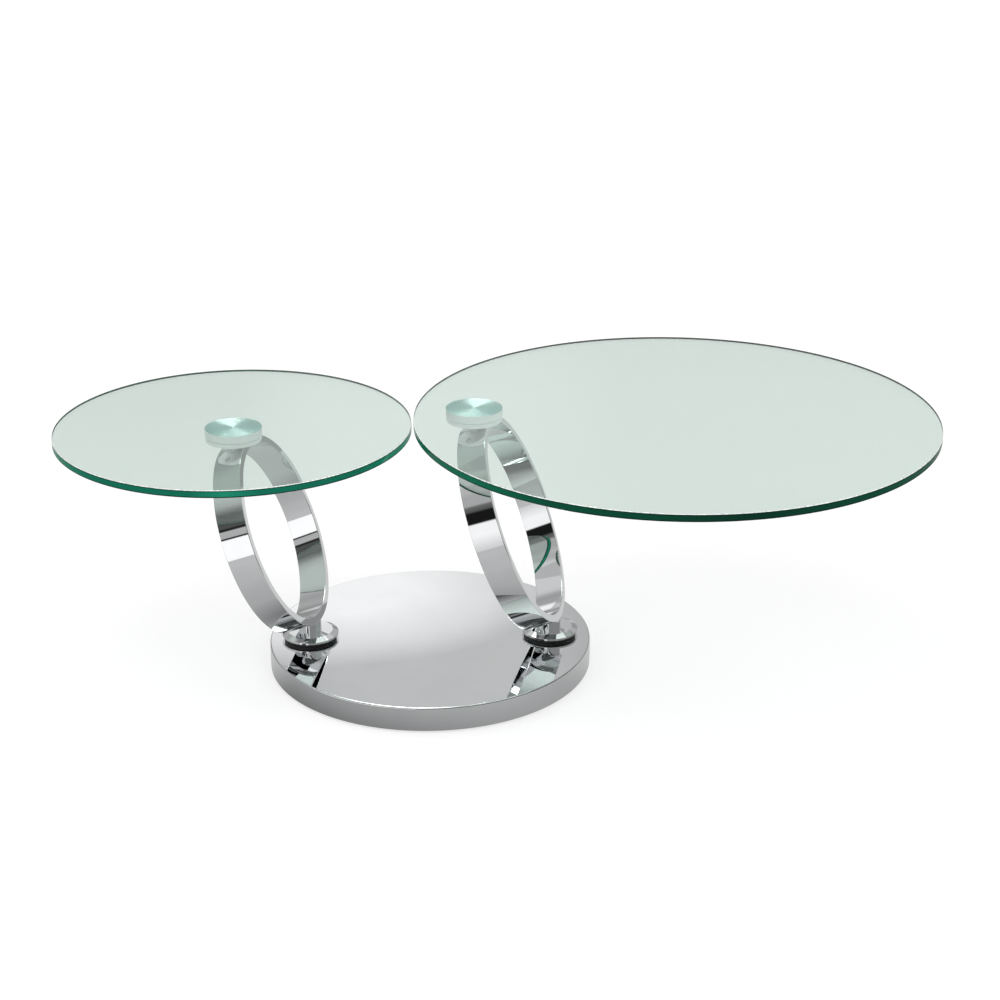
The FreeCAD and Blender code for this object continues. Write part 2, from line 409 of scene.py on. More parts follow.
def turned_metal(name, colours, film, film_share, groove_tilt):
    """Face-turned aluminium: its grooves run in circles, so light fans out in wedges from the centre.

    The longer flank of each groove faces the centre, which makes the wedge behind the centre brighter. A
    diffuse veil over the metal scatters a share of the light in its own colour: on the sides it is the pale
    anodic film, and on the face under the glass it is painted teal light that stands in for light which has
    run through the green glass. Real grooves lie about 0.1 mm apart;
    they are drawn 1 mm apart so that they still show.
    """
    finish, tree = new_material(name)
    pitch = 1 * MM
    long_flank = 0.65
    turning = add_node(tree, "UVMap", {"uv_map": UV_NAME})["UV"]
    outwards = add_node(tree, "SeparateXYZ", links={0: turning})["Y"]
    count = add_node(tree, "Math", {"operation": "MULTIPLY"}, {1: 1 / pitch}, {0: outwards})
    across = add_node(tree, "Math", {"operation": "FRACT"}, links={0: count[0]})[0]
    profile = add_node(tree, "ValToRGB", links={"Fac": across},
                       stops=[(0.0, 1.0), (long_flank, 0.0), (1.0, 1.0)])["Color"]
    depth = long_flank * pitch * math.tan(groove_tilt)
    grooves = add_node(tree, "Bump", values={"Strength": 1.0, "Distance": depth},
                       links={"Height": profile})["Normal"]
    marks = add_node(tree, "TexNoise", {"noise_dimensions": "1D"},
                     {"Scale": 1 / pitch, "Detail": 2.0}, {"W": outwards})["Fac"]
    tone = add_node(tree, "Mix", {"data_type": "RGBA"},
                    {"A": opaque(colours.aluminium), "B": opaque(colours.aluminium_mark)},
                    {"Factor": marks})["Result"]
    roughness = add_node(tree, "MapRange", values={"To Min": 0.18, "To Max": 0.24},
                         links={"Value": marks})["Result"]
    tangent = add_node(tree, "Tangent", {"direction_type": "UV_MAP", "uv_map": UV_NAME})
    metal = add_node(tree, "BsdfPrincipled",
                     values={"Metallic": 1.0, "Anisotropic": 1.0, "Anisotropic Rotation": 0.25},
                     links={"Base Color": tone, "Roughness": roughness, "Tangent": tangent[0],
                            "Normal": grooves})
    # The veil is the real anodic film on the sides, and painted teal light on the face under the glass
    veil = add_node(tree, "BsdfDiffuse", values={"Color": opaque(film)})
    shader = add_node(tree, "MixShader", values={0: film_share}, links={1: metal[0], 2: veil[0]})
    return finished(finish, shader)


def clear_glass(tint):
    """Float glass, clear and level: its iron oxide gives a long path through it a green cast."""
    finish, tree = new_material("float_glass_clear")
    roughness = add_node(tree, "MapRange", values={"To Max": 0.004},
                         links={"Value": cloud(tree, 80 * MM)})["Result"]
    shader = add_node(tree, "BsdfPrincipled",
                      values={"Base Color": opaque(tint), "IOR": 1.52, "Transmission Weight": 1.0},
                      links={"Roughness": roughness})
    iron_green = (0.2, 0.69, 0.63)
    volume = add_node(tree, "VolumeAbsorption", values={"Color": opaque(iron_green), "Density": 10.0})
    return finished(finish, shader, volume)


def glass_edge(name, colour, bright, line, stretches):
    """Polished edge of float glass: the eye looks along the sheet, so it sees deep green.

    The stretches give the share of a paler green by the distance to the right: painted light where the sheet
    looks into the bright studio, and painted shade where it looks into the dark hall. A darker line of
    painted shade follows the upper and lower borders, where the arrises turn the light away.
    """
    finish, tree = new_material(name)
    place = add_node(tree, "TexCoord")["Object"]
    sideways = add_node(tree, "SeparateXYZ", links={0: place})["X"]
    # Painted light: paler green stretches along the edge, by the distance to the right
    tone = add_node(tree, "Mix", {"data_type": "RGBA"}, {"A": opaque(colour), "B": opaque(bright)},
                    {"Factor": levels(tree, sideways, stretches)})["Result"]
    level = add_node(tree, "Attribute", {"attribute_name": LEVEL_NAME})["Fac"]
    # Painted shade: darker lines along the upper and lower borders of the edge
    clear = add_node(tree, "ValToRGB", links={"Fac": level},
                     stops=[(0.1, 0.0), (0.22, 1.0), (0.76, 1.0), (0.88, 0.0)])["Color"]
    lined = add_node(tree, "Mix", {"data_type": "RGBA"}, {"A": opaque(line)},
                     {"Factor": clear, "B": tone})["Result"]
    shader = add_node(tree, "BsdfPrincipled",
                      values={"Roughness": 0.05, "IOR": 1.52, "Specular IOR Level": 0.03},
                      links={"Base Color": lined})
    return finished(finish, shader)


def ground_arris(colour, shade):
    """Arris of the glass edge, ground with a fine wheel: a pale matt line."""
    finish, tree = new_material("float_glass_arris_ground")
    tone = add_node(tree, "Mix", {"data_type": "RGBA"}, {"A": opaque(colour), "B": opaque(shade)},
                    {"Factor": cloud(tree, 3 * MM)})["Result"]
    shader = add_node(tree, "BsdfPrincipled",
                      values={"Roughness": 0.5, "IOR": 1.52, "Specular IOR Level": 0.1},
                      links={"Base Color": tone})
    return finished(finish, shader)


def grained(name, colour, shade, grain, roughness, metallic=0.0, relief=0.05 * MM):
    """Plain finish whose colour, gloss and fine relief all follow grains of a real size."""
    finish, tree = new_material(name)
    height = cloud(tree, grain)
    tone = add_node(tree, "Mix", {"data_type": "RGBA"}, {"A": opaque(colour), "B": opaque(shade)},
                    {"Factor": height})["Result"]
    gloss = add_node(tree, "MapRange", values={"To Min": roughness[0], "To Max": roughness[1]},
                     links={"Value": height})["Result"]
    bump = add_node(tree, "Bump", values={"Strength": 0.3, "Distance": relief},
                    links={"Height": height})["Normal"]
    shader = add_node(tree, "BsdfPrincipled", values={"Metallic": metallic},
                      links={"Base Color": tone, "Roughness": gloss, "Normal": bump})
    return finished(finish, shader)


def zinc_steel():
    """Zinc-plated steel: a dull grey shine. All screws, nuts and spindles share it; the first makes it."""
    name = "steel_zinc_plated"
    if name in bpy.data.materials:
        return bpy.data.materials[name]
    return grained(name, linear("#B9BABC"), linear("#A3A5A8"), grain=2 * MM, roughness=(0.25, 0.4),
                   metallic=1.0)


# Sizes and colours that a user would change

def millimetres(name, description, value):
    """Property for a length, whose default is given in millimetres."""
    return bpy.props.FloatProperty(name=name, description=description, default=value * MM,
                                   min=0.0, unit="LENGTH", subtype="DISTANCE")


def degrees(name, description, value):
    """Property for an angle, whose default is given in degrees."""
    return bpy.props.FloatProperty(name=name, description=description, default=math.radians(value),
                                   min=0.0, unit="ROTATION", subtype="ANGLE")


def srgb(name, description, value):
    """Property for a colour, whose default is given as an sRGB hex value."""
    return bpy.props.FloatVectorProperty(name=name, description=description, default=linear(value),
                                         min=0.0, max=1.0, size=3, subtype="COLOR")


class SWIVELTABLE_PG_sizes(bpy.types.PropertyGroup):
    """Sizes of details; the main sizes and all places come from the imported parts."""

    ring_lean: degrees("Ring lean", "Lean of each ring from upright", 21.3)
    band_width: millimetres("Band width", "Width of the ring's flat band", 46)
    band_thickness: millimetres("Band thickness", "Thickness of the ring's flat band", 12)
    band_edge: millimetres("Band edge", "Rounding of the band's edges", 0.9)
    glass_arris: millimetres("Glass arris", "Width of the small bevel on each glass edge", 1.0)
    cover_wall: millimetres("Cover wall", "Wall of the base cover", 2)
    cover_edge: millimetres("Cover edge", "Rounding of the top edge of the base cover", 2.5)
    flange_edge: millimetres("Flange edge", "Upright part of the flange below its bevel", 3.2)
    flange_bevel: millimetres("Flange bevel", "Width of the flange's sloping top", 9)
    spindle_hole: millimetres("Spindle hole", "Radius of the hole in the flange", 10.05)
    washer_hole: millimetres("Washer hole", "Radius of the hole in the bearing washer", 14.4)
    washer_play: millimetres("Washer play", "Gap between the bearing washer and the flange on it", 0.05)
    disc_edge: millimetres("Disc edge", "Rounding of the edges of the turned discs", 0.5)
    groove_tilt: degrees("Groove tilt", "Tilt of each turned groove's longer flank", 8)
    reveal_height: millimetres("Joint height", "Height of the dark joint between the two discs", 1.0)
    reveal_depth: millimetres("Joint depth", "Depth of the dark joint between the two discs", 2.2)
    screw_circle: millimetres("Screw circle", "Radius of the circle of screws under each disc", 31)
    screw_head: millimetres("Screw head", "Radius of the screw heads under each disc", 5.5)


class SWIVELTABLE_PG_colours(bpy.types.PropertyGroup):
    """Colours of the finishes."""

    chrome: srgb("Chrome", "Bright chromium plate", "#F3F4F5")
    chrome_haze: srgb("Chrome haze", "Chromium plate where buffing left a haze", "#EEF0F1")
    aluminium: srgb("Aluminium", "Face-turned aluminium", "#E9EBEB")
    aluminium_mark: srgb("Aluminium marks", "Darker turning marks", "#DFE2E2")
    anodic_film: srgb("Anodic film", "Pale veil of the clear anodic film on the turned discs", "#F7F9F9")
    # Painted light: the teal veil under the glass stands in for light that has run through the green glass
    painted_glass_light: srgb("Adhesive film", "Teal veil of the adhesive between glass and disc", "#6CC9BA")
    glass: srgb("Glass", "Tint of the clear glass", "#EDF2ED")
    small_edge: srgb("Small top edge", "Deep green of the small top's polished edge", "#0F5744")
    # Painted light: the paler stretches of both edges
    small_edge_painted_light: srgb("Small top edge, bright", "Paler stretches of the small top's edge", "#1E8166")
    large_edge: srgb("Large top edge", "Darker green of the large top's polished edge", "#08251B")
    large_edge_painted_light: srgb("Large top edge, bright", "Paler stretches of the large top's edge", "#105D45")
    edge_line: srgb("Edge line", "Dark lines along the borders of the polished edges", "#04140F")
    glass_arris: srgb("Glass arris", "Pale line along the edge of the glass", "#9AA3A0")
    nylon: srgb("Nylon", "Black bearing washer", "#0C0C0D")


# Pieces

class SWIVELTABLE_OT_glass_tops(bpy.types.Operator):
    """Build both round glass tops with arrised, polished edges"""

    bl_idname = "swivel_table.glass_tops"
    bl_label = "Glass tops"

    def execute(self, context):
        sizes = context.scene.swivel_table_sizes
        colours = context.scene.swivel_table_colours
        clear = clear_glass(colours.glass)
        arris_line = ground_arris(colours.glass_arris, colours.glass)
        edges = {
            "small": glass_edge("float_glass_edge_polished", colours.small_edge,
                                colours.small_edge_painted_light, colours.edge_line, EDGE_PAINTED_LIGHT["small"]),
            "large": glass_edge("float_glass_edge_polished_deep", colours.large_edge,
                                colours.large_edge_painted_light, colours.edge_line, EDGE_PAINTED_LIGHT["large"]),
        }
        arris = sizes.glass_arris
        arris_round = arris / 6
        for arm in ARMS:
            node = f"{arm}_glass_top"
            name = f"{arm}_glass_sheet"
            radius, bottom, top = round_node(node)[1:]
            corners = [(0, bottom), (radius - arris, bottom), (radius, bottom + arris),
                       (radius, top - arris), (radius - arris, top), (0, top)]
            points, normals = axis_outline(corners, [0, *[arris_round] * 4, 0])
            middle = (points[:-1] + points[1:]) / 2
            on_rim = middle[:, 0] > radius - arris
            on_arris = on_rim & (middle[:, 1] > top - arris)
            # Each row's material: 0 is the clear sheet, 1 the polished edge and 2 the ground upper arris
            rows = np.where(on_arris, 2, np.where(on_rim, 1, 0))
            mesh = spun_mesh(name, points, normals, upright_at(node), row_material=rows)
            level = mesh.attributes.new(LEVEL_NAME, "FLOAT", "POINT")
            height = np.empty(3 * len(mesh.vertices), np.float32)
            mesh.vertices.foreach_get("co", height)
            level.data.foreach_set("value", (height[2::3] - bottom) / (top - bottom))
            piece = add_piece(mesh, node, "clear_glass", clear, edges[arm], arris_line)
            piece.visible_shadow = False
        return {"FINISHED"}


def ring_place(arm, lean):
    """Outer radius of an arm's ring and the transform that leans it from the swivel towards the disc.

    The ring's foot and top lie on the swivel axis and the disc axis, so twice its radius times the sine of
    the lean is the distance between those axes.
    """
    swivel = round_node(f"{arm}_flange")[0]
    disc = round_node(f"{arm}_upper_disc")[0]
    reach = Vector((disc.x - swivel.x, disc.y - swivel.y, 0))
    radius = reach.length / (2 * math.sin(lean))
    heading = reach.normalized()
    upward = heading * math.sin(lean) + Vector((0, 0, math.cos(lean)))
    axis = Vector((0, 0, math.sin(lean))) - heading * math.cos(lean)
    low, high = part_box(f"{arm}_ring")
    columns = Matrix((upward, axis.cross(upward), axis)).transposed()
    return radius, Matrix.Translation((low + high) / 2) @ columns.to_4x4()


class SWIVELTABLE_OT_rings(bpy.types.Operator):
    """Build both leaning flat-band rings"""

    bl_idname = "swivel_table.rings"
    bl_label = "Rings"

    def execute(self, context):
        sizes = context.scene.swivel_table_sizes
        half = sizes.band_width / 2
        for arm in ARMS:
            outer, place = ring_place(arm, sizes.ring_lean)
            inner = outer - sizes.band_thickness
            corners = [(inner, -half), (outer, -half), (outer, half), (inner, half)]
            mesh = turned_mesh(f"{arm}_ring_band", corners, [sizes.band_edge] * 4, place, closed=True)
            add_piece(mesh, f"{arm}_ring", "mirror_steel", mirror_plate(context))
        return {"FINISHED"}


def post_mesh(name, node, outer, place, end, ring_side):
    """Round post between a flat end and the outside of the ring.

    Its wall runs straight along the axis. A point at (x, y) meets the ring where its distance from the ring's
    axis equals the ring's radius. With a for the point's level offset from the ring's centre and b for the
    upright, both less their parts along the ring's axis, the height h over the centre makes a + h b as long
    as the radius: a quadratic, of which the lower or the upper root is taken.
    """
    centre, radius = round_node(node)[:2]
    angle = np.arange(COARSE_SEGMENTS) * 2 * np.pi / COARSE_SEGMENTS
    cap = np.linspace(0, 1, POST_CAP_ROWS)
    reach = np.concatenate([cap, np.ones(POST_WALL_ROWS), cap[::-1]]) * radius
    wall_climb = np.linspace(0, 1, POST_WALL_ROWS)
    climb = np.concatenate([np.zeros(POST_CAP_ROWS), wall_climb, np.ones(POST_CAP_ROWS)])
    x = centre.x + reach[:, None] * np.cos(angle)
    y = centre.y + reach[:, None] * np.sin(angle)
    axis = np.array(place.col[2][:3])
    middle = np.array(place.col[3][:3])
    level = np.stack([x - middle[0], y - middle[1], np.zeros_like(x)], axis=2)
    level -= (level @ axis)[:, :, None] * axis
    upright = np.array([0, 0, 1.0]) - axis[2] * axis
    slope = level @ upright
    square = upright @ upright
    inside = slope ** 2 - square * (np.sum(level ** 2, axis=2) - outer ** 2)
    saddle = middle[2] + (-slope + ring_side * np.sqrt(inside)) / square
    z = end + climb[:, None] * (saddle - end)
    wall = ((climb > 0) & (climb < 1)) | (reach == radius)
    cos_sin = np.stack([np.cos(angle), np.sin(angle), np.zeros_like(angle)], axis=1)
    flat = np.where(climb < 0.5, -1.0, 1.0)[:, None, None] * np.array([0, 0, -ring_side])
    vectors = np.where(wall[:, None, None], cos_sin, flat)
    grid = np.stack([x, y, z], axis=2)
    if ring_side > 0:
        grid = grid[::-1]
        vectors = vectors[::-1]
    return grid_mesh(name, grid, vectors, False, Matrix.Identity(4))


class SWIVELTABLE_OT_posts(bpy.types.Operator):
    """Build the neck under each ring and the boss on top of it"""

    bl_idname = "swivel_table.posts"
    bl_label = "Necks and bosses"

    def execute(self, context):
        sizes = context.scene.swivel_table_sizes
        for arm in ARMS:
            outer, place = ring_place(arm, sizes.ring_lean)
            # Both posts reach a little into the band, so that no gap shows between them and it
            sunk = outer - sizes.band_edge / 2
            # The flat end of the neck is its foot, below the ring; that of the boss is its top, above it
            for node, end, ring_side in ((f"{arm}_neck", 0, -1), (f"{arm}_boss", 1, 1)):
                mesh = post_mesh(f"{node}_post", node, sunk, place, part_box(node)[end].z, ring_side)
                add_piece(mesh, node, "mirror_steel", mirror_plate(context))
        return {"FINISHED"}


class SWIVELTABLE_OT_discs(bpy.types.Operator):
    """Build the two-layer turned disc under each glass top, with its screws"""

    bl_idname = "swivel_table.discs"
    bl_label = "Turned discs"

    def execute(self, context):
        sizes = context.scene.swivel_table_sizes
        colours = context.scene.swivel_table_colours
        # Silvery under a clear anodic film; where the disc meets the glass it carries painted teal light
        # instead, which stands in for light that has run through the green glass
        turned = turned_metal("aluminium_face_turned", colours, colours.anodic_film, film_share=0.9,
                              groove_tilt=sizes.groove_tilt)
        painted_teal = turned_metal("aluminium_face_turned_bonded", colours, colours.painted_glass_light,
                              film_share=0.3, groove_tilt=sizes.groove_tilt)
        edge = sizes.disc_edge
        joint_round = edge / 4
        for arm in ARMS:
            node = f"{arm}_upper_disc"
            place = upright_at(node)
            radius, bottom, top = round_node(node)[1:]
            bonded_top = top + BOND
            corners = [(0, bottom), (radius, bottom), (radius, bonded_top), (0, bonded_top)]
            points, normals = axis_outline(corners, [0, edge, edge, 0])
            on_glass = points[:-1, 1] > top
            mesh = spun_mesh(f"{arm}_disc_upper", points, normals, place, row_material=on_glass)
            add_piece(mesh, node, "turned_aluminium", turned, painted_teal)
            node = f"{arm}_lower_disc"
            radius, bottom, top = round_node(node)[1:]
            step = radius - sizes.reveal_depth
            shoulder = top - sizes.reveal_height
            corners = [(0, bottom), (radius, bottom), (radius, shoulder), (step, shoulder), (step, top),
                       (0, top)]
            rounds = [0, edge, edge, joint_round, joint_round, 0]
            mesh = turned_mesh(f"{arm}_disc_lower", corners, rounds, place)
            add_piece(mesh, node, "turned_aluminium", turned)
            mesh = self.screw_heads(f"{arm}_disc_screw_heads", sizes, bottom, place)
            add_piece(mesh, f"{arm}_disc_screws", "plain_steel", zinc_steel())
        return {"FINISHED"}

    def screw_heads(self, name, sizes, bottom, place):
        """Four flat heads with a round socket, standing a little proud of the disc's underside."""
        head = sizes.screw_head
        socket = head * SOCKET_SHARE
        proud = bottom - SCREW_PROUD
        floor = bottom + SOCKET_SUNK
        back = bottom + SCREW_SUNK
        corners = [(0, floor), (socket, floor), (socket, proud), (head, proud), (head, back), (0, back)]
        rounds = [0, HOLE_ROUND, SOCKET_RIM_ROUND, SCREW_RIM_ROUND, HOLE_ROUND, 0]
        heads = bpy.data.meshes.new(name)
        whole = bmesh.new()
        for quarter in range(4):
            turn = Matrix.Rotation(math.radians(45 + 90 * quarter), 4, "Z")
            spot = place @ turn @ Matrix.Translation((sizes.screw_circle, 0, 0))
            one = turned_mesh(name, corners, rounds, spot, SCREW_SEGMENTS)
            whole.from_mesh(one)
            bpy.data.meshes.remove(one)
        whole.to_mesh(heads)
        whole.free()
        return heads


class SWIVELTABLE_OT_collars(bpy.types.Operator):
    """Build the bevelled flange and the bearing washer at each swivel"""

    bl_idname = "swivel_table.collars"
    bl_label = "Swivel collars"

    def execute(self, context):
        sizes = context.scene.swivel_table_sizes
        colours = context.scene.swivel_table_colours
        # Near black, with a soft satin gloss
        nylon = grained("nylon_moulded_black", colours.nylon, linear("#141416"), grain=1.5 * MM,
                        roughness=(0.32, 0.45))
        for arm in ARMS:
            node = f"{arm}_flange"
            place = upright_at(node)
            radius, bottom, top = round_node(node)[1:]
            hole = sizes.spindle_hole
            corners = [(hole, bottom), (radius, bottom), (radius, bottom + sizes.flange_edge),
                       (radius - sizes.flange_bevel, top), (hole, top)]
            rounds = [HOLE_ROUND, FLANGE_ROUND, FLANGE_ROUND, FLANGE_TOP_ROUND, HOLE_ROUND]
            mesh = turned_mesh(f"{arm}_flange_collar", corners, rounds, place, closed=True)
            add_piece(mesh, node, "mirror_steel", mirror_plate(context))
            node = f"{arm}_swivel_washer"
            radius, bottom, top = round_node(node)[1:]
            hole = sizes.washer_hole
            seat = top - sizes.washer_play
            corners = [(hole, bottom), (radius, bottom), (radius, seat), (hole, seat)]
            rounds = [WASHER_HOLE_ROUND, WASHER_ROUND, WASHER_ROUND, WASHER_HOLE_ROUND]
            mesh = turned_mesh(f"{arm}_bearing_washer", corners, rounds, place, closed=True)
            add_piece(mesh, node, "black_nylon", nylon)
        return {"FINISHED"}


class SWIVELTABLE_OT_base(bpy.types.Operator):
    """Build the mirror cover of the base"""

    bl_idname = "swivel_table.base"
    bl_label = "Base cover"

    def execute(self, context):
        sizes = context.scene.swivel_table_sizes
        radius, bottom, top = round_node("base_cover")[1:]
        wall = sizes.cover_wall
        ceiling = top - wall
        corners = [(0, ceiling), (radius - wall, ceiling), (radius - wall, bottom), (radius, bottom),
                   (radius, top), (0, top)]
        rounds = [0, *[COVER_FOOT_ROUND] * 3, sizes.cover_edge, 0]
        mesh = turned_mesh("base_mirror_cover", corners, rounds, upright_at("base_cover"))
        add_piece(mesh, "base_cover", "mirror_steel", mirror_plate(context))
        return {"FINISHED"}


class SWIVELTABLE_OT_hidden_parts(bpy.types.Operator):
    """Give the parts inside and under the base their finishes"""

    bl_idname = "swivel_table.hidden_parts"
    bl_label = "Parts inside the base"

    def execute(self, context):
        # Warm and finely speckled
        bronze = grained("bronze_sintered", linear("#B08A4E"), linear("#8F6C38"), grain=0.8 * MM,
                         roughness=(0.35, 0.5), metallic=1.0)
        steel = zinc_steel()
        # Black and slightly pebbled
        coat = grained("steel_powder_coated_black", linear("#18181A"), linear("#242426"), grain=1.2 * MM,
                       roughness=(0.5, 0.65))
        # Pale grey, clouded and rough
        filling = grained("cement_cast", linear("#B3B0AA"), linear("#98948C"), grain=6 * MM,
                          roughness=(0.85, 0.95), relief=0.4 * MM)
        # Dark, soft and without gloss
        felt = grained("wool_needle_felt", linear("#2B2B2D"), linear("#3C3C3E"), grain=1.0 * MM,
                       roughness=(0.9, 1.0), relief=0.3 * MM)
        finishes = {"base_core": filling, "base_plate": coat, "base_plate_screws": steel, "floor_pad": felt}
        for arm in ARMS:
            finishes[f"{arm}_swivel_bush"] = bronze
            finishes[f"{arm}_spindle"] = steel
            finishes[f"{arm}_retainer_washer"] = steel
            finishes[f"{arm}_lock_nut"] = steel
        for node, finish in finishes.items():
            mesh = frame["nodes"][node].data
            mesh.materials.clear()
            mesh.materials.append(finish)
        return {"FINISHED"}


# Stage

def stage_piece(mesh, finish):
    """Object of the studio, which is no part of the table."""
    piece = add_object(mesh, finish)
    return piece


def floor_finish():
    """White paper floor: plain white to the eye and through glass, with the table's shadow.

    In mirrors it glows with painted light and shade instead: a painted shadow darkens it close to the base,
    most on the left, and it is paler further off and behind the base.
    """
    finish, tree = new_material("paper_floor_white")
    ray = add_node(tree, "LightPath")
    place = add_node(tree, "TexCoord")["Object"]
    distance = add_node(tree, "VectorMath", {"operation": "LENGTH"}, links={0: place})["Value"]
    # Painted shadow of the table, seen only in mirrors: darkest close to the base on the left, lighter on the
    # right and behind
    left = levels(tree, distance, [(0.26, 0.19), (0.30, 0.30), (0.36, 0.42), (0.6, 0.49), (1.4, 0.54)])
    right = levels(tree, distance, [(0.26, 0.37), (0.33, 0.44), (0.6, 0.53), (1.2, 0.62), (3.2, 0.70)])
    behind = levels(tree, distance, [(0.26, 0.55), (0.4, 0.62), (3.2, 0.70)])
    to_right = share_along(tree, place, (1, 0, 0), -0.25, 0.25)
    to_back = share_along(tree, place, (0, 1, 0), -0.15, 0.02)
    painted_shade_in_mirror = left
    for share, tone in ((to_right, right), (to_back, behind)):
        painted_shade_in_mirror = add_node(tree, "Mix", {"data_type": "RGBA"},
                            links={"Factor": share, "A": painted_shade_in_mirror, "B": tone})["Result"]
    painted_shade_glow = add_node(tree, "Emission", links={"Color": painted_shade_in_mirror})
    lift = add_node(tree, "MapRange",
                    values={"From Min": 0.9, "From Max": 2.5, "To Min": 0.7, "To Max": 0.84},
                    links={"Value": distance})["Result"]
    white = add_node(tree, "Emission", values={"Color": opaque(WHITE)}, links={"Strength": lift})
    paper = add_node(tree, "BsdfDiffuse", values={"Color": opaque(PAPER_GREY)})
    plain = add_node(tree, "AddShader", links={0: white[0], 1: paper[0]})
    in_mirror = add_node(tree, "Math", {"operation": "SUBTRACT", "use_clamp": True},
                         links={0: ray["Is Glossy Ray"], 1: ray["Is Transmission Ray"]})[0]
    shader = add_node(tree, "MixShader", links={0: in_mirror, 1: plain[0], 2: painted_shade_glow[0]})
    return finished(finish, shader)


def wall_finish():
    """Studio wall that only mirrors and glass show.

    In front, on the left, a white strip lies under a dark band, and the hall pales towards its top; far left
    a grey opening breaks the band. Beside it a stretch is pale low down, and all to the right of that is dark
    with one grey band. Behind lies a grey backdrop with a faint pool of light. Both sides are dark low down
    and paler above.
    """
    finish, tree = new_material("studio_wall_painted")
    place = add_node(tree, "TexCoord")["Object"]
    spot = add_node(tree, "SeparateXYZ", links={0: place})
    height = spot["Z"]
    slanted = add_node(tree, "VectorMath", {"operation": "DOT_PRODUCT"}, {1: (0.25, 0.05, 1)},
                       {0: place})["Value"]
    hall = levels(tree, slanted, [
        (-0.9, 0.5), (-0.3, 0.75), (0.0, 0.9), (0.3, 1.03), (0.85, 1.0), (0.93, 0.01), (1.5, 0.01),
        (1.62, 0.1), (1.85, 0.15), (2.0, 0.42), (2.54, 0.42), (2.92, 0.5), (3.3, 0.42)])
    far_left = levels(tree, slanted, [
        (-0.8, 1.0), (-0.45, 1.1), (0.38, 1.12), (0.42, 0.02), (0.47, 0.02), (0.50, 0.45), (0.79, 0.47),
        (0.83, 0.02), (0.91, 0.02), (0.96, 0.08), (1.6, 0.08), (1.85, 0.25), (2.05, 0.48), (2.3, 0.58),
        (3.3, 0.58)])
    pale = levels(tree, height, [
        (0.0, 0.5), (0.4, 0.8), (1.45, 0.8), (2.0, 0.5), (2.64, 0.3), (3.5, 0.22)])
    dark = levels(tree, height, [
        (0.0, 0.5), (0.25, 0.4), (0.35, 0.03), (0.95, 0.03), (1.15, 0.25), (2.0, 0.27), (2.2, 0.05),
        (4.6, 0.12)])
    to_far_left = share_along(tree, place, (-0.68, 0.96, -0.72), -1.8, -1.6)
    to_pale = share_along(tree, place, (1, 0, 0), -1.25, -1.0)
    to_dark = share_along(tree, place, (1, 0, 0), -0.65, -0.45)
    for share, tone in ((to_far_left, far_left), (to_pale, pale), (to_dark, dark)):
        hall = add_node(tree, "Mix", {"data_type": "RGBA"},
                        links={"Factor": share, "A": hall, "B": tone})["Result"]
    back_left = levels(tree, height, [
        (0.0, 0.3), (1.1, 0.3), (1.4, 0.33), (1.7, 0.41), (2.5, 0.36), (2.8, 0.42), (3.2, 0.6), (3.6, 0.64)])
    back_right = levels(tree, height, [
        (0.0, 0.34), (1.0, 0.32), (1.4, 0.43), (1.9, 0.45), (2.6, 0.45), (3.0, 0.6)])
    to_right = share_along(tree, place, (1, 0, 0), -0.9, 0.1)
    behind = add_node(tree, "Mix", {"data_type": "RGBA"},
                      links={"Factor": to_right, "A": back_left, "B": back_right})["Result"]
    across = levels(tree, spot["X"], [(-0.6, 0.0), (-0.3, 1.0), (0.3, 1.0), (0.6, 0.0)])
    upright = levels(tree, height, [(1.2, 0.0), (1.5, 1.0), (1.9, 1.0), (2.2, 0.0)])
    in_pool = add_node(tree, "Math", {"operation": "MULTIPLY"}, links={0: across, 1: upright})[0]
    behind = add_node(tree, "Mix", {"data_type": "RGBA"}, {"B": opaque(POOL_GREY)},
                      {"Factor": in_pool, "A": behind})["Result"]
    side = levels(tree, height, [
        (0.0, 0.06), (0.75, 0.06), (0.95, 0.5), (1.9, 0.45), (2.3, 0.36), (2.8, 0.42), (3.2, 0.6),
        (3.6, 0.64)])
    sideways = add_node(tree, "Math", {"operation": "ABSOLUTE"}, links={0: spot["X"]})[0]
    to_side = levels(tree, sideways, [(1.7, 0.0), (2.6, 1.0)])
    behind = add_node(tree, "Mix", {"data_type": "RGBA"},
                      links={"Factor": to_side, "A": behind, "B": side})["Result"]
    to_back = share_along(tree, place, (-0.5, 1, 0), 0.0, 1.76)
    tone = add_node(tree, "Mix", {"data_type": "RGBA"},
                    links={"Factor": to_back, "A": hall, "B": behind})["Result"]
    shader = add_node(tree, "Emission", links={"Color": tone})
    return finished(finish, shader)


def ceiling_finish():
    """Ceiling of the studio: grey at the left, dark in front, and lit by a broad lamp over the table."""
    finish, tree = new_material("studio_ceiling_painted")
    place = add_node(tree, "TexCoord")["Object"]
    spot = add_node(tree, "SeparateXYZ", links={0: place})
    lamp = levels(tree, spot["Y"], [(-3.2, 0.1), (-2.4, 0.35), (-1.7, 0.65), (-1.0, 0.85), (-0.4, 1.0),
                                    (0.8, 1.1)])
    tone = add_node(tree, "Mix", {"data_type": "RGBA"}, {"A": opaque(CEILING_GREY)},
                    {"Factor": share_along(tree, place, (1, 0, 0), -1.2, -0.3), "B": lamp})
    shader = add_node(tree, "Emission", links={"Color": tone["Result"]})
    return finished(finish, shader)


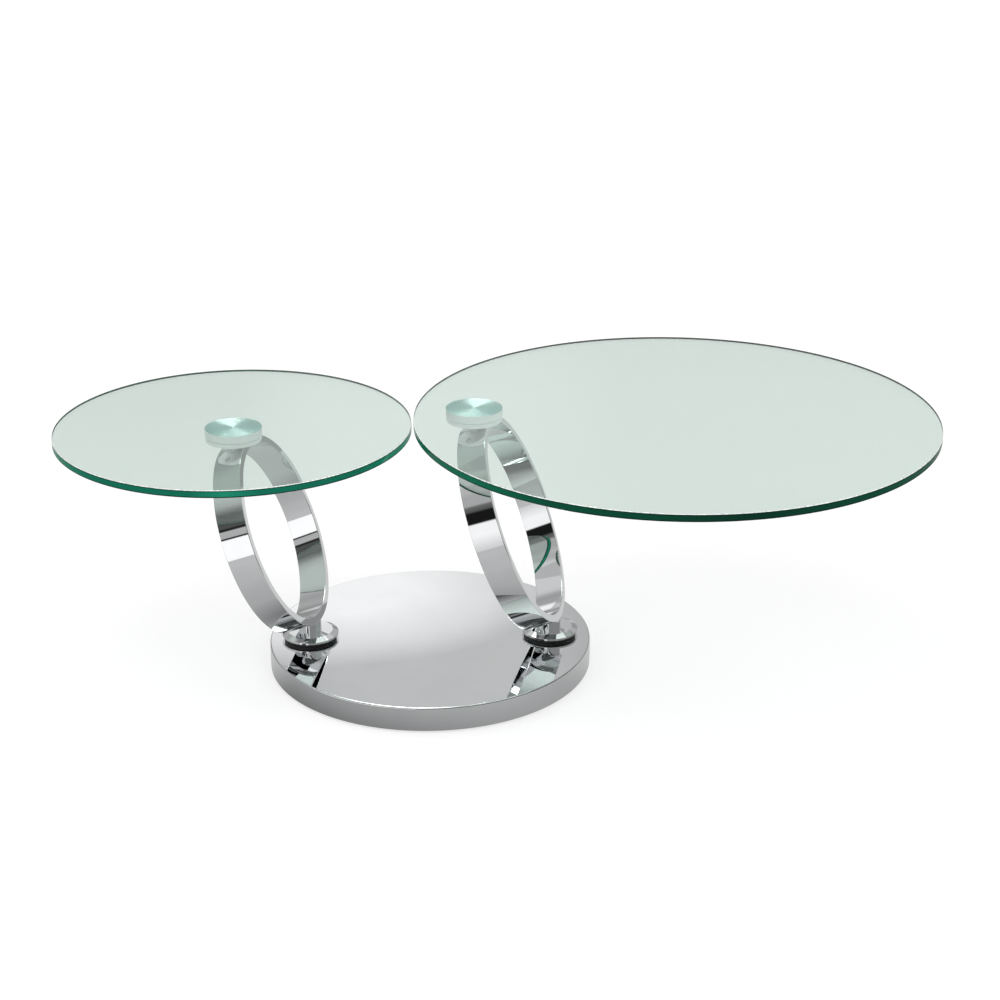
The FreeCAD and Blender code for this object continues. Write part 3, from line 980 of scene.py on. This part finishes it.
def lit_card(name, centre, half_size, strength, stops):
    """Lit card: the stops give its level from its centre to its border, as shares of its half size."""
    finish, tree = new_material(name)
    place = add_node(tree, "TexCoord")["Object"]
    offset = add_node(tree, "VectorMath", {"operation": "SUBTRACT"}, {1: centre}, {0: place})
    share = add_node(tree, "VectorMath", {"operation": "DIVIDE"}, {1: half_size}, {0: offset[0]})
    distance = add_node(tree, "VectorMath", {"operation": "LENGTH"}, links={0: share[0]})["Value"]
    shader = add_node(tree, "Emission", values={"Strength": strength},
                      links={"Color": levels(tree, distance, stops)})
    return finished(finish, shader)


def soft_lamp(name, place, aim, size, power):
    """Square soft lamp aimed at a point, which mirrors and glass do not show."""
    data = bpy.data.lights.new(name, "AREA")
    data.size = size
    data.energy = power
    lamp = bpy.data.objects.new(name, data)
    lamp.location = place
    lamp.rotation_euler = (Vector(aim) - Vector(place)).to_track_quat("-Z", "Y").to_euler()
    lamp.visible_glossy = False
    lamp.visible_transmission = False
    bpy.context.scene.collection.objects.link(lamp)


def studio_world():
    """Plain white all round."""
    world = bpy.data.worlds.new("studio_white")
    world.use_nodes = True
    tree = world.node_tree
    tree.nodes.clear()
    light = add_node(tree, "Background", values={"Color": opaque(WHITE), "Strength": 1.0})
    add_node(tree, "OutputWorld", links={"Surface": light[0]})
    bpy.context.scene.world = world


class SWIVELTABLE_OT_stage(bpy.types.Operator):
    """Set up the floor, the studio wall, the lamps and the camera"""

    bl_idname = "swivel_table.stage"
    bl_label = "Stage"

    def execute(self, context):
        self.disc("paper_floor", FLOOR_RADIUS, -FLOOR_DROP, floor_finish())
        inner = WALL_RADIUS - WALL_THICKNESS
        points = np.array([(inner, 0), (WALL_RADIUS, 0), (WALL_RADIUS, WALL_HEIGHT), (inner, WALL_HEIGHT)])
        normals = np.array([(0, -1.0), (1.0, 0), (0, 1.0), (-1.0, 0)])
        mesh = spun_mesh("studio_wall", points, normals, Matrix.Identity(4), COARSE_SEGMENTS, closed=True)
        wall = stage_piece(mesh, wall_finish())
        ceiling = self.disc("studio_ceiling", WALL_RADIUS, WALL_HEIGHT, ceiling_finish())
        leaning = Matrix.Translation(PANEL_PLACE) @ Matrix.Rotation(-PANEL_LEAN, 4, "X")
        lit_panel = lit_card("lamp_panel_white", PANEL_PLACE, [PANEL_RADIUS] * 3, PANEL_LEVEL,
                             [(0.0, 1.0), (0.6, 1.0), (1.0, 0.1)])
        panel = self.disc("lamp_panel", PANEL_RADIUS, 0, lit_panel, leaning)
        upright = (Matrix.Translation(CARD_PLACE) @ Matrix.Diagonal((CARD_WIDTH, 1, CARD_HEIGHT, 1))
                   @ Matrix.Rotation(math.pi / 2, 4, "X"))
        lit_reflector = lit_card("reflector_card_white", CARD_PLACE, (CARD_WIDTH, 1, CARD_HEIGHT), 1.0,
                                 [(0.0, 1.0), (0.3, 1.0), (0.7, 0.8), (1.0, 0.55)])
        reflector = self.disc("reflector_card", 1.0, 0, lit_reflector, upright)
        for surround in (wall, ceiling, panel, reflector):
            surround.visible_camera = False
            surround.visible_diffuse = False
            surround.visible_shadow = False
        aim = (0, 0, 0.2)
        soft_lamp("lamp_overhead", place=(-0.3, -0.2, 2.4), aim=aim, size=2.0, power=24.0)
        soft_lamp("lamp_front", place=(0.9, -2.2, 1.5), aim=aim, size=1.4, power=16.0)
        studio_world()
        self.camera(context)
        context.scene.view_settings.view_transform = "Standard"
        return {"FINISHED"}

    def disc(self, name, radius, top, finish, place=Matrix.Identity(4)):
        """Thin flat disc whose upper face lies at the given height, carried to a place."""
        bottom = top - DISC_THICKNESS
        points = np.array([(0, bottom), (radius, bottom), (radius, top), (0, top)])
        normals = np.array([(0, -1.0), (0, -1.0), (0, 1.0), (0, 1.0)])
        return stage_piece(spun_mesh(name, points, normals, place, COARSE_SEGMENTS), finish)

    def camera(self, context):
        """Camera at the photograph's place: its distance, pitch and slight turn to the right."""
        data = bpy.data.cameras.new("camera")
        data.sensor_width = SENSOR_WIDTH
        data.lens = CAMERA_LENS
        camera = bpy.data.objects.new("camera", data)
        heading = Matrix.Rotation(-CAMERA_YAW, 4, "Z")
        pitch = Matrix.Rotation(math.pi / 2 - CAMERA_PITCH, 4, "X")
        roll = Matrix.Rotation(CAMERA_ROLL, 4, "Z")
        camera.matrix_world = Matrix.Translation(CAMERA_PLACE) @ heading @ pitch @ roll
        context.scene.collection.objects.link(camera)
        context.scene.camera = camera


PIECES = (
    SWIVELTABLE_OT_glass_tops,
    SWIVELTABLE_OT_rings,
    SWIVELTABLE_OT_posts,
    SWIVELTABLE_OT_discs,
    SWIVELTABLE_OT_collars,
    SWIVELTABLE_OT_base,
    SWIVELTABLE_OT_hidden_parts,
    SWIVELTABLE_OT_stage,
)


class SWIVELTABLE_PT_panel(bpy.types.Panel):
    """Lists the sizes, colours and pieces of the table"""

    bl_idname = "SWIVELTABLE_PT_panel"
    bl_label = "Swivel table"
    bl_space_type = "VIEW_3D"
    bl_region_type = "UI"
    bl_category = "Table"

    def draw(self, context):
        for group in (context.scene.swivel_table_sizes, context.scene.swivel_table_colours):
            column = self.layout.column()
            for name in group.__annotations__:
                column.prop(group, name)
        for operator in PIECES:
            self.layout.operator(operator.bl_idname)


CLASSES = (SWIVELTABLE_PG_sizes, SWIVELTABLE_PG_colours, *PIECES, SWIVELTABLE_PT_panel)


def register():
    """Registers the classes and gives each scene its sizes and colours."""
    for item in CLASSES:
        bpy.utils.register_class(item)
    bpy.types.Scene.swivel_table_sizes = bpy.props.PointerProperty(type=SWIVELTABLE_PG_sizes)
    bpy.types.Scene.swivel_table_colours = bpy.props.PointerProperty(type=SWIVELTABLE_PG_colours)


def unregister():
    """Takes back all that register does."""
    del bpy.types.Scene.swivel_table_colours
    del bpy.types.Scene.swivel_table_sizes
    for item in reversed(CLASSES):
        bpy.utils.unregister_class(item)


def main():
    """Builds every piece and the stage."""
    register()
    bpy.ops.swivel_table.glass_tops()
    bpy.ops.swivel_table.rings()
    bpy.ops.swivel_table.posts()
    bpy.ops.swivel_table.discs()
    bpy.ops.swivel_table.collars()
    bpy.ops.swivel_table.base()
    bpy.ops.swivel_table.hidden_parts()
    bpy.ops.swivel_table.stage()


if __name__ == "__main__":
    main()
